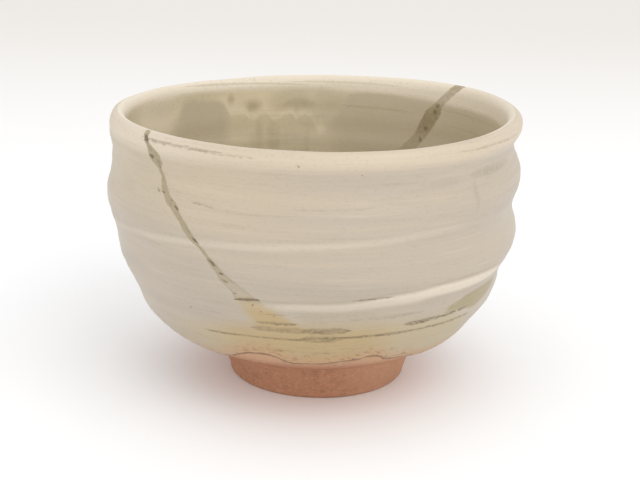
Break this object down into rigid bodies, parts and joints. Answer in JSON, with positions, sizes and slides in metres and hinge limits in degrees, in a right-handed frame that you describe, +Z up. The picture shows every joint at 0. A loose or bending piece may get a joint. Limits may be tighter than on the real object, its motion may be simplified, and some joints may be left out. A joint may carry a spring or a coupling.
{
  "type": "tea bowl",
  "caption": "Hand-thrown round tea bowl with a rounded lip, soft finger ridges on its wall and a turned foot ring; open and empty inside.",
  "frame": {"origin": "on the table, under the middle of the bowl's box", "axes": "+Z up through the open top; -Y is the side with the long diagonal gap between two pours of glaze"},
  "size_m": [0.1251, 0.1243, 0.085],
  "materials": {
    "glazed_clay": "matt cream-grey ash glaze, bare orange-brown clay on the foot"
  },
  "bodies": {
    "root": {"tea_bowl": "glazed_clay"}
  },
  "joints": []
}
